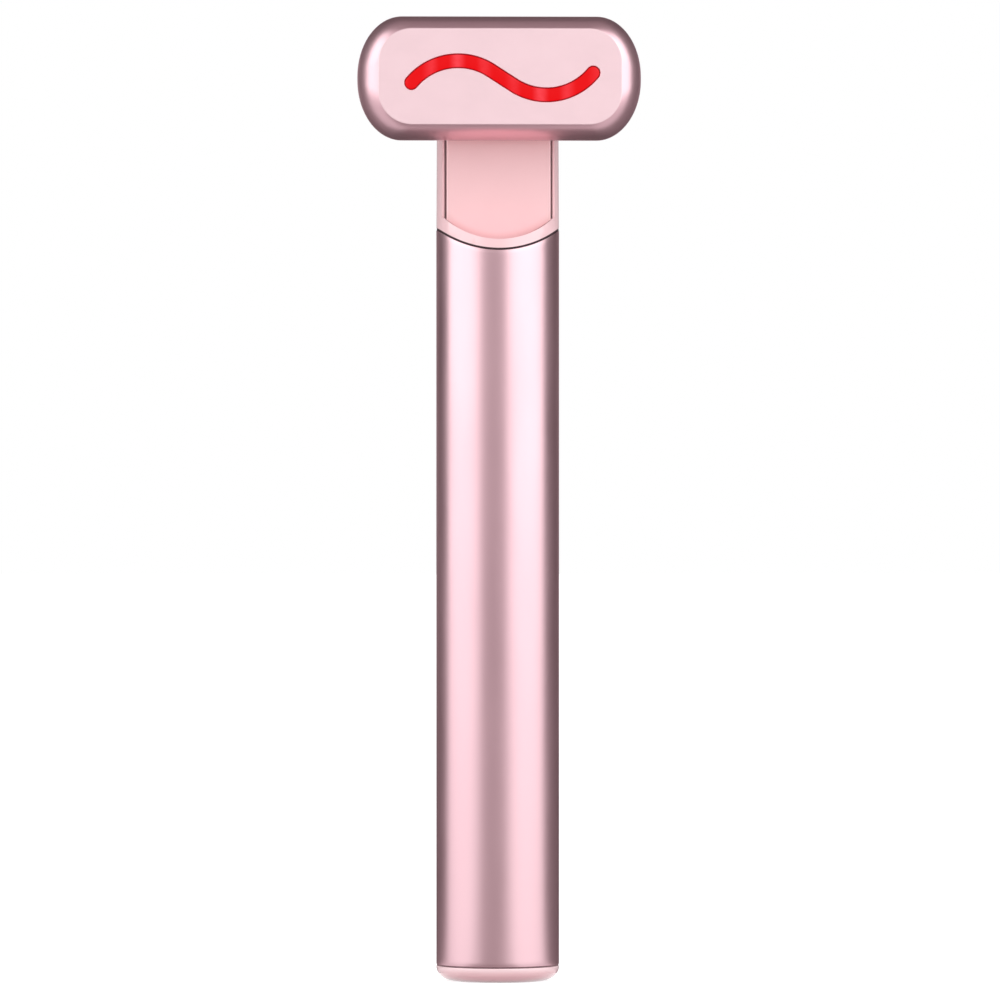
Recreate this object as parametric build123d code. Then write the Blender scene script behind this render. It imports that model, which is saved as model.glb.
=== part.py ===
from build123d import *
import math
import os

# A T-shaped vibrating facial wand, in millimetres.
# X runs along the head, Y from the treatment face to the back, Z up the handle.
# The origin is the centre of the flat foot of the end cap.

# Handle tube
handle_diameter = 18.0
handle_wall = 1.0
tube_length = 104.3          # along the front, where the curved top edge is lowest
saddle_radius = 14.5         # radius of the curved cut across the top of the tube
seam_gap = 0.3               # width of the seams that hold a dark gasket
edge_break = 0.15            # small chamfer on the tube's bright edges

# End cap and charging port
cap_height = 2.2
cap_edge_height = 2.05       # height of the rounded edge of the cap
cap_foot_radius = 6.4        # flat foot inside the rounded edge
spigot_length = 5.5
spigot_wall = 1.0
port_width = 8.9
port_depth = 3.2
port_length = 7.3
port_shell = 0.3
port_recess = 0.4
tongue_gap = 0.8             # beside the contact tongue inside the shell
tongue_thickness = 0.7
tongue_recess = 1.0
light_pipe_radius = 0.8
light_pipe_y = 4.7
light_pipe_flange = 0.4      # its collar behind the cap stands this much proud

# Battery, boards and chassis inside the handle
battery_diameter = 14.0
battery_length = 50.0
pad_thickness = 1.0
bulkhead = 1.0
arm_half_width = 4.2         # the two-screw arm that reaches up into the neck
arm_wall = 1.2
arm_length = 6.0
chassis_screw_x = 2.6
chassis_screw_length = 2.6
charge_board_length = 18.0
board_thickness = 0.8
charge_board_thickness = 1.0
board_half_width = 5.5
board_front_y = 1.3          # front face of the main board, behind the handle's axis
lead_radius = 0.3
lead_x = 5.0
lead_bend = 1.5
plug_height = 4.0            # of the head leads' plug on the main board
lead_spread = 0.45           # the head's two leads lie this far each side of their middle

# Vibration motor
motor_diameter = 6.0
motor_length = 12.0
motor_y = -2.6
shaft_radius = 0.4
weight_radius = 2.8
weight_height = 4.0
weight_hub_radius = 1.2
sleeve_wall = 0.6

# Neck
neck_rise = 25.0             # hinge axis above the front edge of the tube's top
band_height = 1.3            # curved band of the neck between the tube and the panel
pocket_radius = 11.5         # radius of the panel's round lower edge
ear_front = 3.7              # flat fronts of the ears, in front of the handle's axis
panel_front = 5.0            # front of the flat neck panel, in front of the handle's axis
panel_half_width = 7.6
slot_width = 0.3
slot_depth = 1.5
ear_strip = 0.2              # flat strip of each ear beside its slot
ear_step = 0.15              # the ear's round side starts this much behind the strip
neck_spigot_length = 9.0
neck_draft = 0.25            # degrees; the moulded neck narrows a little towards its top
neck_wall = 1.5
peg_radius = 0.75
peg_length = 1.1
peg_x = 4.4

# Hinge, with an eccentric cam that presses the power switch as the head turns
barrel_radius = 3.6
barrel_half_length = 5.3
turning_gap = 0.3
washer_thickness = 0.2
washer_radius = 3.0
pin_radius = 1.1
pin_depth = 1.5              # how far each pin reaches into the barrel
pin_recess = 0.3             # how far its end lies below the neck's side
cam_radius = 3.0
switch_travel = 0.5
cam_x = 2.3
cam_width = 2.2
window_x = -2.2
window_width = 2.0

# Power switch
plunger_radius = 0.75
switch_width = 4.4
switch_depth = 2.6
switch_height = 3.4
plunger_hold = 1.2           # how deep the plunger sits in the switch body

# Head
head_width = 41.3
head_height = 18.0
end_round_x = 6.45           # the ends are half ellipses, this wide
end_round_z = 8.7            # and this high, above and below a short straight
flat_width = 35.2
flat_height = 13.8
flat_corner = 4.8
rim_depth = 5.7              # from the flat face back to the widest outline
rim_start = 0.247            # where on its ellipse the rim leaves the flat, 0 to 1
rim_straight = 0.3
plate_wall = 0.9
rim_steps = 6
cover_thickness = 1.65
cover_edge = 1.1
cover_wall = 1.0
cover_lip = 1.0
cover_lip_wall = 0.8
gasket_thickness = 0.25
gasket_inset = 0.15

# Wavy window of the red light
wave_radius = 8.8
wave_spacing = 6.4           # crest to the middle of the wave
wave_height = 2.46
wave_reach = 6.78            # crest to the end of the wave
wave_width = 1.9
wave_x = 0.29                # the wave's middle from the head's centre
wave_z = -0.22
guide_flange = 1.0
guide_thickness = 0.8
led_count = 7
led_pitch = 4.0
led_shift = 1.8              # the middle lamp stands right of the head's centre, as its glow does in the photo
led_size = 1.6
led_height = 0.7
led_gap = 0.2

# Fasteners
screw_radius = 0.8
screw_head_radius = 1.4
screw_length = 4.6
drive_width = 1.8            # cross slots in the screw heads
drive_slot = 0.35
drive_depth = 0.3
post_radius = 1.5
post_places = ((-15.2, 4.0), (-11.0, -4.6), (15.2, -4.0), (11.0, 4.6))
contact_places = ((8.0, 4.3), (-8.0, -4.3))
contact_radius = 0.6

fit_gap = 0.1                # pieces that slide into each other and stay
running_gap = 0.05           # pins, shafts and sliders that move

handle_radius = handle_diameter / 2
bore_radius = handle_radius - handle_wall
tube_bottom = cap_height + seam_gap
tube_top = tube_bottom + tube_length
saddle_z = tube_top + saddle_radius
pocket_z = tube_top + seam_gap + band_height + pocket_radius
hinge_z = tube_top + neck_rise
spigot_radius = bore_radius - fit_gap
spigot_bore = spigot_radius - spigot_wall
chassis_radius = bore_radius - seam_gap
chassis_bore = battery_diameter / 2 + 2 * fit_gap

spigot_top = tube_bottom + spigot_length
charge_board_y = port_depth / 2 + running_gap
charge_board_bottom = spigot_top - 4.5
charge_board_top = charge_board_bottom + charge_board_length
lower_bulkhead = charge_board_top + 1.0
battery_bottom = lower_bulkhead + bulkhead + pad_thickness
battery_top = battery_bottom + battery_length
upper_bulkhead = battery_top + pad_thickness
main_board_bottom = upper_bulkhead + bulkhead + 1.0
motor_bottom = main_board_bottom + 1.0
motor_top = motor_bottom + motor_length
weight_bottom = motor_top + 1.0
neck_spigot_bottom = tube_top - neck_spigot_length
chassis_top = neck_spigot_bottom - turning_gap
arm_top = neck_spigot_bottom + arm_length
chassis_screw_z = neck_spigot_bottom + arm_length / 2

knuckle_space = barrel_half_length + turning_gap
cradle_radius = barrel_radius + turning_gap
cavity_top = hinge_z - cradle_radius - 4.3
cam_offset = switch_travel / 2
panel_top = hinge_z - cradle_radius - turning_gap
switch_top = cavity_top - turning_gap
plunger_top = hinge_z + cam_offset - cam_radius - running_gap
plunger_bottom = switch_top - plunger_hold
main_board_top = switch_top - 0.4
plug_z = switch_top - switch_height - 4.0

cover_back = -(panel_front + turning_gap)
cover_front = cover_back - cover_thickness
plate_back = cover_front - gasket_thickness
rim_y = plate_back - rim_straight
face_y = rim_y - rim_depth
guide_back = face_y + plate_wall + running_gap + guide_thickness
led_front = guide_back + led_gap
led_board_front = led_front + led_height
led_board_back = led_board_front + board_thickness


def block(x0, x1, y0, y1, z0, z1):
    """A box between two limits on each axis."""
    return Pos((x0 + x1) / 2, (y0 + y1) / 2, (z0 + z1) / 2) * Box(x1 - x0, y1 - y0, z1 - z0)


def rod_z(radius, z0, z1, x=0.0, y=0.0):
    return Pos(x, y, (z0 + z1) / 2) * Cylinder(radius, z1 - z0)


def rod_x(radius, x0, x1, y, z):
    return Pos((x0 + x1) / 2, y, z) * Rot(0, 90, 0) * Cylinder(radius, x1 - x0)


def rod_y(radius, y0, y1, x, z):
    return Pos(x, (y0 + y1) / 2, z) * Rot(90, 0, 0) * Cylinder(radius, y1 - y0)


def ring_z(outer, inner, z0, z1):
    return rod_z(outer, z0, z1) - rod_z(inner, z0, z1)


def tombstone(radius, y0, y1, centre):
    """A bar along Y, round below its centre and straight above it."""
    straight = block(-radius, radius, y0, y1, centre, hinge_z + handle_diameter)
    return rod_y(radius, y0, y1, 0, centre) + straight


def head_plane(y):
    """A sketch plane that faces the front, centred on the head."""
    return Plane(origin=(0, y, hinge_z), x_dir=(1, 0, 0), z_dir=(0, -1, 0))


def head_outline(half_width, half_height, round_x, round_z):
    """A rounded oblong whose corners are quarter ellipses."""
    x = half_width - round_x
    z = half_height - round_z
    corners = ((x, z, 0), (-x, z, 90), (-x, -z, 180), (x, -z, 270))
    edges = [EllipticalCenterArc((cx, cz), round_x, round_z, turn, arc_size=90) for cx, cz, turn in corners]
    edges += [Line((x, half_height), (-x, half_height)), Line((-x, -half_height), (x, -half_height))]
    edges += [Line((-half_width, z), (-half_width, -z)), Line((half_width, -z), (half_width, z))]
    return make_face(edges)


def rim_outline(share, inset=0.0):
    """The head's outline between the flat face (share 0) and the widest section (share 1)."""
    half_width = flat_width / 2 + share * (head_width - flat_width) / 2
    half_height = flat_height / 2 + share * (head_height - flat_height) / 2
    round_x = flat_corner + share * (end_round_x - flat_corner)
    round_z = flat_corner + share * (end_round_z - flat_corner)
    return head_outline(half_width - inset, half_height - inset, round_x - inset, round_z - inset)


def rim_sections(steps, inset, front):
    """Outlines that follow a quarter ellipse from the flat face to the widest section."""
    first = math.asin(rim_start)
    sections = []
    for step in range(steps + 1):
        angle = first + (math.pi / 2 - first) * step / steps
        share = (math.sin(angle) - rim_start) / (1 - rim_start)
        depth = (rim_y - front) * (1 - math.cos(angle) / math.cos(first))
        sections.append(head_plane(front + depth) * rim_outline(share, inset))
    return sections


def wave_band(width, y0, y1):
    """A bar along Y whose section is the wave: two arcs joined by a straight, with round ends."""
    half = width / 2
    drop = wave_radius - wave_height
    reach = math.hypot(wave_spacing, drop)
    tangent = math.degrees(math.acos(wave_radius / reach) + math.atan2(drop, wave_spacing))
    outer = 90 + math.degrees(math.asin(wave_reach / wave_radius))
    left = (-wave_spacing, -drop)
    right = (wave_spacing, drop)
    top_left = CenterArc(left, wave_radius + half, tangent, outer - tangent)
    low_left = CenterArc(left, wave_radius - half, tangent, outer - tangent)
    top_right = CenterArc(right, wave_radius - half, 180 + tangent, outer - tangent)
    low_right = CenterArc(right, wave_radius + half, 180 + tangent, outer - tangent)
    end = Vector(*left) + Vector(wave_radius, 0).rotate(Axis.Z, outer)
    left_end = CenterArc(end, half, outer, 180)
    right_end = CenterArc(-end, half, outer + 180, 180)
    middle = (Line(top_left @ 0, top_right @ 0), Line(low_left @ 0, low_right @ 0))
    band = make_face([top_left, low_left, top_right, low_right, left_end, right_end, *middle])
    return Pos(wave_x, 0, wave_z) * extrude(head_plane(y1) * band, y1 - y0)


def handle_tube():
    tube = ring_z(handle_radius, bore_radius, tube_bottom, tube_top + saddle_radius / 2)
    tube -= rod_y(saddle_radius, -handle_diameter, handle_diameter, 0, saddle_z)
    outer = [edge for edge in tube.edges() if is_outer_rim(edge)]
    return chamfer(outer, edge_break)


def is_outer_rim(edge):
    """Picks the edges where the tube's outer wall meets its two ends."""
    middle = edge @ 0.5
    upright = abs((edge % 0.5).Z) > 0.99
    return abs(math.hypot(middle.X, middle.Y) - handle_radius) < 1e-3 and not upright


def end_cap():
    foot = Line((0, 0), (cap_foot_radius, 0))
    side_round = handle_radius - cap_foot_radius
    centre = (cap_foot_radius, cap_edge_height)
    edge = EllipticalCenterArc(centre, side_round, cap_edge_height, 270, arc_size=90)
    rest = Polyline((handle_radius, cap_edge_height), (handle_radius, cap_height), (0, cap_height), (0, 0))
    cap = revolve(Plane.XZ * make_face([foot, edge, *rest.edges()]), Axis.Z)
    cap += ring_z(spigot_radius, spigot_bore, cap_height - fit_gap, spigot_top)
    cap -= port_opening(port_width + 2 * fit_gap, port_depth + 2 * fit_gap, 0, cap_height)
    cap -= rod_z(light_pipe_radius + running_gap, 0, cap_height, 0, light_pipe_y)
    return cap


def port_opening(width, depth, z0, z1):
    return Pos(0, 0, z0) * extrude(SlotOverall(width, depth), z1 - z0)


def end_cap_seal():
    return ring_z(handle_radius - seam_gap, spigot_radius + running_gap, cap_height, tube_bottom)


def usb_port_shell():
    top = port_recess + port_length
    inner_width = port_width - 2 * port_shell
    inner_depth = port_depth - 2 * port_shell
    shell = port_opening(port_width, port_depth, port_recess, top)
    return shell - port_opening(inner_width, inner_depth, port_recess, top - port_shell)


def usb_port_tongue():
    half = port_width / 2 - port_shell - tongue_gap
    rise = tongue_thickness / 2
    top = port_recess + port_length - port_shell
    return block(-half, half, -rise, rise, port_recess + tongue_recess, top)


def charge_light_pipe():
    pipe = rod_z(light_pipe_radius, 0, spigot_top - 1.0, 0, light_pipe_y)
    collar = light_pipe_radius + light_pipe_flange
    return pipe + rod_z(collar, cap_height, cap_height + light_pipe_flange, 0, light_pipe_y)


def charge_board():
    board_back = charge_board_y + charge_board_thickness
    half = board_half_width
    return block(-half, half, charge_board_y, board_back, charge_board_bottom, charge_board_top)


def chip(x, face, side, z, width, height, rise):
    """A component on a board's face; side is -1 in front of the board and 1 behind it."""
    y0, y1 = sorted((face, face + side * rise))
    return block(x - width / 2, x + width / 2, y0, y1, z - height / 2, z + height / 2)


def charge_board_parts():
    face = charge_board_y + charge_board_thickness
    top = charge_board_top
    return [
        chip(0, face, 1, top - 6.0, 4.0, 4.0, 0.9),
        chip(-3.4, face, 1, top - 2.4, 2.2, 2.2, 1.1),
        chip(3.2, face, 1, top - 2.4, 2.0, 1.2, 0.6),
        chip(0, face, 1, charge_board_bottom + 4.4, 1.6, 0.8, 0.6),
        chip(0, charge_board_y, -1, top - 4.4, 5.0, 3.0, 1.6),
    ]


def battery_cell():
    can = rod_z(battery_diameter / 2, battery_bottom, battery_top)
    waist = battery_diameter / 2 - 0.4
    can -= ring_z(battery_diameter, waist, battery_top - 4.0, battery_top - 3.0)
    return chamfer(can.edges().group_by(Axis.Z)[-1], 0.3)


def battery_tabs():
    low = block(-2, 2, -4, 3, battery_bottom - 0.2, battery_bottom)
    high = block(-2, 2, -4, 3, battery_top, battery_top + 0.2)
    return [low, high]


def battery_pads():
    outer = battery_diameter / 2 - 0.5
    return [
        ring_z(outer, outer - 1.5, battery_bottom - pad_thickness, battery_bottom),
        ring_z(outer, outer - 1.5, battery_top, battery_top + pad_thickness),
    ]


def lead_y():
    """Where the leads lie, close along the front of the battery."""
    middle_radius = battery_diameter / 2 + lead_radius + fit_gap
    return -math.sqrt(middle_radius ** 2 - lead_x ** 2)


def battery_leads():
    """Two leads that pass the battery in front, from the charging board to the main board."""
    y = lead_y()
    low = charge_board_top - 1.5
    high = main_board_bottom + 1.2
    leads = []
    for side in (-1, 1):
        x = side * lead_x
        points = ((x, charge_board_y, low), (x, y, low), (x, y, high), (x, board_front_y, high))
        path = FilletPolyline(*points, radius=lead_bend)
        section = Plane(origin=path @ 0, z_dir=path % 0) * Circle(lead_radius)
        leads.append(sweep(section, path))
    return leads


def motor_hole(z0, z1, gap):
    return rod_z(motor_diameter / 2 + sleeve_wall + gap, z0, z1, 0, motor_y)


def inner_chassis():
    """A half shell behind the battery with cross walls, and arms that screw to the neck."""
    shell = ring_z(chassis_radius, chassis_bore, spigot_top + seam_gap, chassis_top)
    shell &= block(-handle_radius, handle_radius, 1.0, handle_radius, 0, hinge_z)
    wall_radius = (chassis_radius + chassis_bore) / 2
    walls = [(lower_bulkhead, 0), (upper_bulkhead, 0), (motor_bottom + 2, 1), (motor_top - 3, 1)]
    for z, holds_motor in walls:
        wall = rod_z(wall_radius, z, z + bulkhead)
        for x in (-lead_x, lead_x):
            wall -= block(x - 1, x + 1, -handle_radius, lead_y() + 1.4, z, z + bulkhead)
        if holds_motor:
            wall -= motor_hole(z, z + bulkhead, 0)
            wall -= main_board_space()
        shell += wall
    arm_outer = spigot_bore - fit_gap
    arm_bottom = chassis_top - arm_length
    arm = ring_z(arm_outer, arm_outer - arm_wall, arm_bottom, arm_top)
    arm += ring_z(wall_radius, arm_outer - arm_wall / 2, arm_bottom, arm_bottom + 2 * bulkhead)
    arm &= block(-arm_half_width, arm_half_width, arm_half_width, handle_radius, 0, hinge_z)
    shell += arm
    shell -= contact_window()
    for seat in chassis_screw_seats():
        shell -= seat * countersink(running_gap)
    return shell


def main_board_space():
    half = board_half_width + fit_gap
    y0 = board_front_y - fit_gap
    return block(-half, half, y0, y0 + board_thickness + 2 * fit_gap, main_board_bottom - fit_gap, hinge_z)


def contact_window():
    return block(board_half_width, handle_radius, 0, 3.2, motor_top - 1, motor_top + 5)


def chassis_screw_xs():
    return (-chassis_screw_x, chassis_screw_x)


def screw(length):
    """A countersunk screw along Z, its head's flat at zero and its point below."""
    head = Pos(0, 0, -screw_head_height() / 2) * Cone(screw_radius, screw_head_radius, screw_head_height())
    cross = Box(drive_width, drive_slot, 2 * drive_depth) + Box(drive_slot, drive_width, 2 * drive_depth)
    return head + rod_z(screw_radius, -length, -screw_head_height() / 2) - cross


def screw_head_height():
    return screw_head_radius - screw_radius


def countersink(gap):
    height = screw_head_height()
    cone = Cone(screw_radius + gap, screw_head_radius + gap, height)
    return Pos(0, 0, -height / 2) * cone + rod_z(screw_radius + gap, -screw_length, 0)


def chassis_screw_seats():
    """Where the screws' heads lie, in the back of the neck's spigot."""
    return [Pos(x, screw_back_y(x), chassis_screw_z) * Rot(-90, 0, 0) for x in chassis_screw_xs()]


def screw_back_y(x):
    return math.sqrt(spigot_radius ** 2 - (abs(x) + screw_head_radius) ** 2)


def chassis_screws():
    return [seat * screw(chassis_screw_length) for seat in chassis_screw_seats()]


def main_board():
    half = board_half_width
    y1 = board_front_y + board_thickness
    return block(-half, half, board_front_y, y1, main_board_bottom, main_board_top)


def main_board_parts():
    front = board_front_y
    back = board_front_y + board_thickness
    return [
        chip(window_x, front, -1, plug_z, 3.4, plug_height, 1.9),
        chip(0, back, 1, plug_z - 6.0, 4.0, 4.0, 0.9),
        chip(-3.0, back, 1, plug_z, 2.6, 2.6, 1.2),
        chip(3.2, back, 1, plug_z - 1.0, 1.6, 0.8, 0.6),
        chip(3.2, back, 1, plug_z + 2.0, 1.6, 0.8, 0.6),
        chip(2.4, front, -1, neck_spigot_bottom + 3.5, 3.0, 3.0, 1.2),
        chip(-3.2, front, -1, neck_spigot_bottom + 3.5, 1.6, 0.8, 0.6),
    ]


def motor_case():
    radius = motor_diameter / 2
    case = rod_z(radius, motor_bottom, motor_top, 0, motor_y)
    case = chamfer(case.edges(), 0.3)
    case += rod_z(weight_hub_radius, motor_top, motor_top + 0.5, 0, motor_y)
    return case - rod_z(shaft_radius + running_gap, motor_bottom + 0.5, motor_top + 1, 0, motor_y)


def motor_sleeve():
    sleeve = motor_hole(motor_bottom + 1, motor_top - 1, -running_gap)
    return sleeve - rod_z(motor_diameter / 2, motor_bottom, motor_top, 0, motor_y)


def motor_shaft():
    return rod_z(shaft_radius, motor_bottom + 0.7, weight_bottom + weight_height + 0.5, 0, motor_y)


def eccentric_weight():
    z1 = weight_bottom + weight_height
    half_disc = rod_z(weight_radius, weight_bottom, z1, 0, motor_y)
    half_disc &= block(-weight_radius, weight_radius, motor_y - weight_radius, motor_y, weight_bottom, z1)
    weight = half_disc + rod_z(weight_hub_radius, weight_bottom, z1, 0, motor_y)
    return weight - rod_z(shaft_radius, weight_bottom, z1, 0, motor_y)


def tube_contact_spring():
    """A bent strip from the edge of the main board to the inside of the metal tube."""
    board_back = board_front_y + board_thickness
    tip = math.sqrt(bore_radius ** 2 - board_back ** 2) - running_gap
    z = motor_top
    half = 0.1
    foot = (board_half_width + half, z)
    path = Polyline(foot, (foot[0], z + 1.2), (tip - half, z + 2.6), (board_half_width + 1.0, z + 4.2))
    strip = offset(path, half, kind=Kind.ARC)
    face = Plane(origin=(0, board_back, 0), x_dir=(1, 0, 0), z_dir=(0, -1, 0)) * make_face(strip.edges())
    return extrude(face, board_thickness)


def neck_blank():
    """The neck's round outside, flush with the tube below and slightly tapered above."""
    rise = hinge_z + handle_radius - tube_top
    top_radius = handle_radius - rise * math.tan(math.radians(neck_draft))
    return Pos(0, 0, tube_top + rise / 2) * Cone(handle_radius, top_radius, rise)


def neck_side():
    """The neck's side view: a round front over the hinge and a long round at the back."""
    low = tube_top - neck_spigot_length
    top = hinge_z + ear_front
    front_round = CenterArc((0, hinge_z), ear_front, 90, 90)
    back_round = CenterArc((0, top - handle_radius), handle_radius, 0, 90)
    corners = Polyline(
        (handle_radius, top - handle_radius), (handle_radius, low), (-handle_diameter, low),
        (-handle_diameter, hinge_z), (-ear_front, hinge_z),
    )
    face = Plane.YZ * make_face([front_round, back_round, *corners.edges()])
    return extrude(face, handle_diameter, both=True)


def neck_cavity():
    wide = rod_z(spigot_bore, neck_spigot_bottom, hinge_z - neck_rise + band_height - neck_wall)
    tall = rod_z(spigot_bore, neck_spigot_bottom, cavity_top)
    tall &= block(-handle_radius, handle_radius, neck_wall - ear_front, handle_radius, 0, hinge_z)
    return wide + tall


def knuckle_clearance():
    space = rod_x(cradle_radius, -knuckle_space, knuckle_space, 0, hinge_z)
    front = -handle_diameter
    high = hinge_z + handle_diameter
    space += block(-knuckle_space, knuckle_space, front, 0, hinge_z - cradle_radius, high)
    return space + block(-knuckle_space, knuckle_space, front, cradle_radius, hinge_z, high)


def panel_pegs(gap):
    """Four pegs that hold the neck panel, from its back into the housing."""
    pegs = []
    for z in (pocket_z - pocket_radius / 2, panel_top - peg_x):
        for x in (-peg_x, peg_x):
            pegs.append(rod_y(peg_radius + gap, -ear_front - fit_gap, -ear_front + peg_length + gap, x, z))
    return pegs


def neck_housing():
    neck = neck_blank()
    neck &= tombstone(saddle_radius - seam_gap, -handle_diameter, handle_diameter, saddle_z)
    neck &= neck_side()
    neck += rod_z(spigot_radius, neck_spigot_bottom, tube_top + band_height)
    neck -= tombstone(pocket_radius, -handle_diameter, -ear_front, pocket_z)
    neck -= neck_cavity()
    neck -= knuckle_clearance()
    slot_z = pocket_z - math.sqrt(pocket_radius ** 2 - (panel_half_width + slot_width) ** 2)
    for side in (-1, 1):
        slot_side = panel_half_width + slot_width
        x0, x1 = sorted((side * panel_half_width, side * slot_side))
        neck -= block(x0, x1, -handle_radius, slot_depth - ear_front, slot_z, hinge_z + handle_radius)
        x0, x1 = sorted((side * (slot_side + ear_strip), side * handle_radius))
        neck -= block(x0, x1, -handle_radius, ear_step - ear_front, slot_z, hinge_z)
        x0, x1 = sorted((side * (knuckle_space - 1), side * (handle_radius + 1)))
        neck -= rod_x(pin_radius, x0, x1, 0, hinge_z)
    for peg in panel_pegs(running_gap):
        neck -= peg
    neck -= rod_z(plunger_radius + running_gap * 2, cavity_top - 1, hinge_z, cam_x, 0)
    neck -= rod_z(window_width / 2, cavity_top - 1, hinge_z, window_x, 0)
    for seat in chassis_screw_seats():
        neck -= seat * countersink(running_gap)
        neck -= seat * rod_z(screw_head_radius + running_gap, 0, 2)
    return neck


def neck_panel():
    half = panel_half_width
    panel = block(-half, half, -panel_front, -ear_front, tube_top, panel_top)
    panel &= tombstone(pocket_radius - running_gap, -handle_diameter, 0, pocket_z)
    panel &= neck_blank()
    for peg in panel_pegs(0):
        panel += peg
    return panel


def neck_gasket():
    gasket = ring_z(handle_radius - seam_gap, spigot_radius + running_gap, tube_top, saddle_z)
    gasket &= rod_y(saddle_radius, -handle_diameter, handle_diameter, 0, saddle_z)
    return gasket - rod_y(saddle_radius - seam_gap, -handle_diameter, handle_diameter, 0, saddle_z)


def hinge_pins():
    pins = []
    for side in (-1, 1):
        x0, x1 = sorted((side * (barrel_half_length - pin_depth), side * (handle_radius - pin_recess)))
        pins.append(chamfer(rod_x(pin_radius, x0, x1, 0, hinge_z).edges(), 0.1))
    return pins


def hinge_washers():
    washers = []
    for side in (-1, 1):
        x0 = side * (barrel_half_length + running_gap)
        x0, x1 = sorted((x0, x0 + side * washer_thickness))
        outer = rod_x(washer_radius, x0, x1, 0, hinge_z)
        washers.append(outer - rod_x(pin_radius + running_gap, x0, x1, 0, hinge_z))
    return washers


def switch_body():
    half = switch_width / 2
    y0 = board_front_y - switch_depth
    body = block(cam_x - half, cam_x + half, y0, board_front_y, switch_top - switch_height, switch_top)
    well = plunger_bottom - switch_travel - running_gap
    return body - rod_z(plunger_radius + running_gap, well, hinge_z, cam_x, 0)


def switch_plunger():
    return rod_z(plunger_radius, plunger_bottom, plunger_top, cam_x, 0)


def neck_leads():
    bottom = plug_z + plug_height / 2
    top = hinge_z - lead_spread - turning_gap
    xs = (window_x - lead_spread, window_x + lead_spread)
    return [rod_z(lead_radius, bottom, top, x, 0) for x in xs]


def head_leads():
    end = -lead_spread - turning_gap
    xs = (window_x - lead_spread, window_x + lead_spread)
    return [rod_y(lead_radius, led_board_back, end, x, hinge_z) for x in xs]


def treatment_plate():
    plate = loft(rim_sections(rim_steps, 0, face_y))
    plate += extrude(head_plane(plate_back) * rim_outline(1), plate_back - rim_y)
    hollow = loft(rim_sections(2, plate_wall, face_y + plate_wall))
    hollow += extrude(head_plane(plate_back) * rim_outline(1, plate_wall), plate_back - rim_y)
    plate -= hollow
    for x, z in post_places:
        post = rod_y(post_radius, face_y + plate_wall / 2, plate_back, x, hinge_z + z)
        plate += post
    for x, z in post_places:
        plate -= rod_y(screw_radius, cover_back - screw_length, plate_back, x, hinge_z + z)
    return plate - wave_band(wave_width + 2 * fit_gap, face_y, face_y + plate_wall)


def light_guide():
    step = face_y + plate_wall + running_gap
    guide = wave_band(wave_width, face_y, step)
    return guide + wave_band(wave_width + 2 * guide_flange, step, guide_back)


def led_places():
    """The lamps stand on the wave's middle line at an even pitch along X, the last in its right end."""
    drop = wave_radius - wave_height
    reach = math.hypot(wave_spacing, drop)
    tangent = math.acos(wave_radius / reach) + math.atan2(drop, wave_spacing)
    straight = wave_spacing - wave_radius * math.cos(tangent)
    places = []
    for index in range(led_count):
        x = led_shift + (index - (led_count - 1) / 2) * led_pitch
        along = x - wave_x
        side = math.copysign(1, along)
        rise = math.sqrt(wave_radius ** 2 - (abs(along) - wave_spacing) ** 2) - drop
        z = -side * rise if abs(along) > straight else -along / math.tan(tangent)
        places.append((x, z + wave_z))
    return places


def red_leds():
    half = led_size / 2
    lamps = []
    for x, z in led_places():
        z += hinge_z
        lamps.append(block(x - half, x + half, led_front, led_board_front, z - half, z + half))
    return lamps


def led_board():
    inset = plate_wall + 1.0
    board = extrude(head_plane(led_board_back) * rim_outline(0, inset), board_thickness)
    for x, z in post_places:
        board -= rod_y(post_radius + running_gap, face_y, plate_back, x, hinge_z + z)
    return board


def plate_contact_pins():
    pins = []
    for x, z in contact_places:
        z += hinge_z
        barrel = rod_y(contact_radius, led_front - led_gap, led_board_front, x, z)
        pins.append(barrel + rod_y(contact_radius / 2, face_y + plate_wall, led_board_front, x, z))
    return pins


def head_gasket():
    outer = extrude(head_plane(cover_front) * rim_outline(1, gasket_inset), gasket_thickness)
    return outer - extrude(head_plane(cover_front) * rim_outline(1, plate_wall), gasket_thickness)


def knuckle():
    """The hinge barrel on the back of the head, joined to the cover by a flat-sided root."""
    barrel = rod_x(barrel_radius, -barrel_half_length, barrel_half_length, 0, hinge_z)
    low, high = hinge_z - barrel_radius, hinge_z + barrel_radius
    barrel += block(-barrel_half_length, barrel_half_length, cover_back - fit_gap, 0, low, high)
    for side in (-1, 1):
        x0, x1 = sorted((side * (barrel_half_length - pin_depth - fit_gap), side * handle_radius))
        barrel -= rod_x(pin_radius + running_gap, x0, x1, 0, hinge_z)
    half = cam_width / 2
    front = plunger_radius + switch_travel - cam_radius
    groove = block(cam_x - half, cam_x + half, front, handle_radius, low - 1, high)
    groove -= rod_x(cam_radius, -handle_radius, handle_radius, cam_offset, hinge_z + cam_offset)
    barrel -= groove
    x0, x1 = window_x - window_width / 2, window_x + window_width / 2
    edge = window_width / 2
    return barrel - block(x0, x1, -edge, handle_radius, low - 1, hinge_z + edge)


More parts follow.
